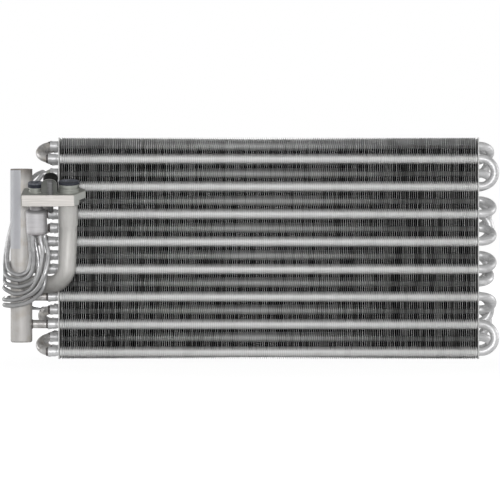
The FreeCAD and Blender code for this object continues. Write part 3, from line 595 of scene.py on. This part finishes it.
def collarMaterial():
    look = collarLooks
    pitch = grid["tubePitch"]
    shader = Shader("collarSheet")
    x, y, z = shader.split(shader.coordinates)
    phase = shader.math("MULTIPLY", x, 2 * math.pi / finSettings["pitch"])
    ridges = shader.range(shader.math("COSINE", phase), 0.0, 1.0, -1.0, 1.0)
    wear = shader.noise(look["wearSize"], look["wearStretch"])
    color = shader.mix(shader.mix(look["wearShare"], ridges, wear), look["valley"], look["ridge"])
    level = shader.math("MODULO", shader.math("ADD", z, finLooks["lightDrop"]), pitch)
    inner = shader.math("LESS_THAN", shader.math("ABSOLUTE", y), grid["rowPitch"])  # rows b and c
    behind = shader.math("GREATER_THAN", y, 0.0)  # rows c and d
    highRow = shader.away(inner, behind)  # rows b and d
    centre = shader.blend(highRow, grid["lowShare"] * pitch, grid["highShare"] * pitch)
    away = shader.away(level, centre)
    # Painted highlight along each sleeve's middle line, falling off to painted shade above and below
    lights = [shader.range(away, 1.0, look["least"], look["plateau"] * reach, reach)
              for reach in (look["outerReach"], look["innerReach"])]
    shader.give("Base Color", shader.mix(shader.blend(inner, *lights), look["shade"], color))
    shader.give("Roughness", shader.range(wear, *look["roughness"]))
    shader.give("Metallic", look["metallic"])
    shader.bump(ridges, look["bump"], look["bumpDistance"])
    return shader.material


def buildSleeves():
    sleeve = sleeveSettings
    half = sleeve["halfLength"]
    profile = [(sleeve["radius"], 0), (sleeve["radius"], 2 * half)]
    parts = []
    for row in tubeRows:
        for level in range(1, grid["levels"] + 1):
            tube = row + str(level)
            place = axisAlong((-half, tubeY(tube), tubeZ(tube)), (1, 0, 0))
            parts.append(turned(profile, place, sleeve["sides"]))
    sleeves = meshPiece("fin_collars", *gathered(parts), "fin_sheet", smooth=True)
    sleeves.data.materials.append(collarMaterial())
    print("collar sleeves:", len(parts))


# Brazed joints: a fillet of filler round each tube where it enters the header or a bell

brazeSettings = {
    "tubeRadius": 3.97 * mm, "inset": 0.3 * mm, "sides": 24, "steps": 5,
    "headerX": -227.9 * mm, "headerRadius": 10.0 * mm, "headerSink": 0.25 * mm,
    "headerHeight": 1.3 * mm, "headerWidth": 1.2 * mm,
    "bellX": -203.0 * mm, "bellSink": 0.1 * mm, "bellHeight": 2.2 * mm, "bellWidth": 1.0 * mm}
stubTubes = ["a2", "a3", "a4", "a5", "a6", "a7"]
bentTubes = ["a1", "b1", "c1", "d1", "b3", "c2", "b4", "c4", "c3", "d3", "b5", "b6", "c5", "d5",
             "b7", "c7", "a8", "b8", "c8", "d8"]


def fillet(height, width):
    # A hollow-sided ring from a wide foot up to the tube
    braze = brazeSettings
    radius = braze["tubeRadius"]
    profile = [(radius - braze["inset"], 0)]
    for i in range(braze["steps"] + 1):
        t = math.pi / 2 * i / braze["steps"]
        profile.append((radius + width * (1 - math.sin(t)), height * (1 - math.cos(t))))
    profile.append((radius - braze["inset"], height))
    return profile


def buildBrazes():
    braze = brazeSettings
    headerFace = braze["headerX"] + braze["headerRadius"] - braze["headerSink"]
    bellFace = braze["bellX"] + braze["bellSink"]
    headerFillet = fillet(braze["headerHeight"], braze["headerWidth"])
    bellFillet = fillet(braze["bellHeight"], braze["bellWidth"])
    parts = []
    for tube in stubTubes:
        place = axisAlong((headerFace, tubeY(tube), tubeZ(tube)), (1, 0, 0))
        parts.append(turned(headerFillet, place, braze["sides"]))
    for tube in stubTubes + bentTubes:
        place = axisAlong((bellFace, tubeY(tube), tubeZ(tube)), (-1, 0, 0))
        parts.append(turned(bellFillet, place, braze["sides"]))
    brazes = meshPiece("braze_fillets", *gathered(parts), "stub_tube", smooth=True)
    brazes.data.materials.append(materials["brazeMetal"])
    print("braze fillets:", len(parts))


# Floor: white to the camera far off, with a share of the object's shadow near it

stageSettings = {"halfSize": 12.0, "drop": 0.5 * mm, "color": (0.50, 0.50, 0.50), "roughness": 0.9,
                 "whiteness": 1.12, "shadowShare": 0.15, "shadowReach": (0.25, 0.9)}


def buildFloor():
    stage = stageSettings
    half = stage["halfSize"]
    mesh = bpy.data.meshes.new("floor")
    corners = [(-half, -half, 0), (half, -half, 0), (half, half, 0), (-half, half, 0)]
    mesh.from_pydata(corners, [], [(0, 1, 2, 3)])
    floor = bpy.data.objects.new("floor", mesh)
    bpy.context.scene.collection.objects.link(floor)
    floor.location.z = -stage["drop"]
    shader = Shader("paleFloor")
    shader.give("Base Color", stage["color"])
    shader.give("Roughness", stage["roughness"])
    glow = shader.node("ShaderNodeEmission")
    glow.inputs["Strength"].default_value = stage["whiteness"]
    distance = shader.node("ShaderNodeVectorMath", operation="LENGTH")
    shader.link(shader.coordinates, distance.inputs[0])
    least = 1 - stage["shadowShare"]
    clear = shader.range(distance.outputs["Value"], least, 1.0, *stage["shadowReach"])
    shader.overlay(shader.math("MULTIPLY", shader.backgroundRays(), clear),
                   shader.surface.outputs["BSDF"], glow.outputs["Emission"], "Material Output")
    mesh.materials.append(shader.material)
    print("floor ready")


# World: an even grey light, darker from below, behind the white that camera and gloss see. The
# white has a darker ceiling, which bright metal shows along its upper side.

worldSettings = {"light": 0.20, "lightBelow": 0.13, "belowSpan": (0.0, 0.5),
                 "ceiling": 0.30, "ceilingSpan": (0.68, 0.84)}


def buildWorld():
    look = worldSettings
    world = bpy.data.worlds.new("studio")
    bpy.context.scene.world = world
    world.use_nodes = True
    studio = Nodes(world.node_tree)
    _, _, up = studio.split(studio.node("ShaderNodeTexCoord").outputs["Generated"])
    height = studio.range(up, 0.0, 1.0, -1.0, 1.0)
    lit = studio.tree.nodes["Background"]
    light = studio.range(height, look["lightBelow"], look["light"], *look["belowSpan"])
    studio.link(light, lit.inputs["Color"])
    seen = studio.node("ShaderNodeBackground")
    studio.link(studio.range(height, 1.0, look["ceiling"], *look["ceilingSpan"]), seen.inputs["Color"])
    studio.overlay(studio.backgroundRays(), lit.outputs["Background"], seen.outputs["Background"],
                   "World Output")
    print("world ready")


# Soft boxes in front, behind, beside and above. The front one is narrow, so that its light falls
# straight in between the fins.

lampSettings = {
    "frontLamp": {"place": (-0.02, -2.1, 0.10), "width": 0.30, "height": 0.55, "power": 33.5},
    "backLamp": {"place": (0.02, 2.1, 0.60), "width": 0.6, "height": 0.6, "power": 16.0},
    "leftLamp": {"place": (-2.1, 0.5, 0.5), "width": 1.0, "height": 1.0, "power": 13.0},
    "rightLamp": {"place": (2.1, 0.1, 0.5), "width": 1.0, "height": 1.0, "power": 13.0},
    "topLamp": {"place": (-0.3, -0.9, 1.6), "width": 1.0, "height": 1.0, "power": 2.0}}
lampAim = Vector((0, 0, 0.1))


def buildLamps():
    for name, lamp in lampSettings.items():
        light = bpy.data.lights.new(name, "AREA")
        light.shape = "RECTANGLE"
        light.size = lamp["width"]
        light.size_y = lamp["height"]
        light.energy = lamp["power"]
        holder = bpy.data.objects.new(name, light)
        bpy.context.scene.collection.objects.link(holder)
        holder.location = lamp["place"]
        holder.rotation_euler = (lampAim - holder.location).to_track_quat("-Z", "Y").to_euler()
    print("lamps:", len(lampSettings))


# Camera: level, with 1.09 pixels per mm on the fins' front face, 1.9 m from the lens

cameraSettings = {"distance": 1.9, "frontFace": -38.1 * mm, "x": -17.2 * mm, "z": 100.0 * mm,
                  "pixelsPerMetre": 1090.0, "imageWidth": 500, "sensor": 36.0, "clipEnd": 50.0}


def buildCamera():
    view = cameraSettings
    data = bpy.data.cameras.new("camera")
    data.sensor_width = view["sensor"]
    seenWidth = view["imageWidth"] / view["pixelsPerMetre"]
    data.lens = view["sensor"] * view["distance"] / seenWidth
    data.clip_end = view["clipEnd"]
    camera = bpy.data.objects.new("camera", data)
    bpy.context.scene.collection.objects.link(camera)
    camera.location = (view["x"], view["frontFace"] - view["distance"], view["z"])
    camera.rotation_euler = (math.pi / 2, 0, 0)
    bpy.context.scene.camera = camera
    bpy.context.scene.view_settings.view_transform = "Standard"
    print("camera lens", round(data.lens, 1))


dressNodes()
buildFins()
buildSleeves()
buildBrazes()
buildFloor()
buildWorld()
buildLamps()
buildCamera()


print("scene ready")
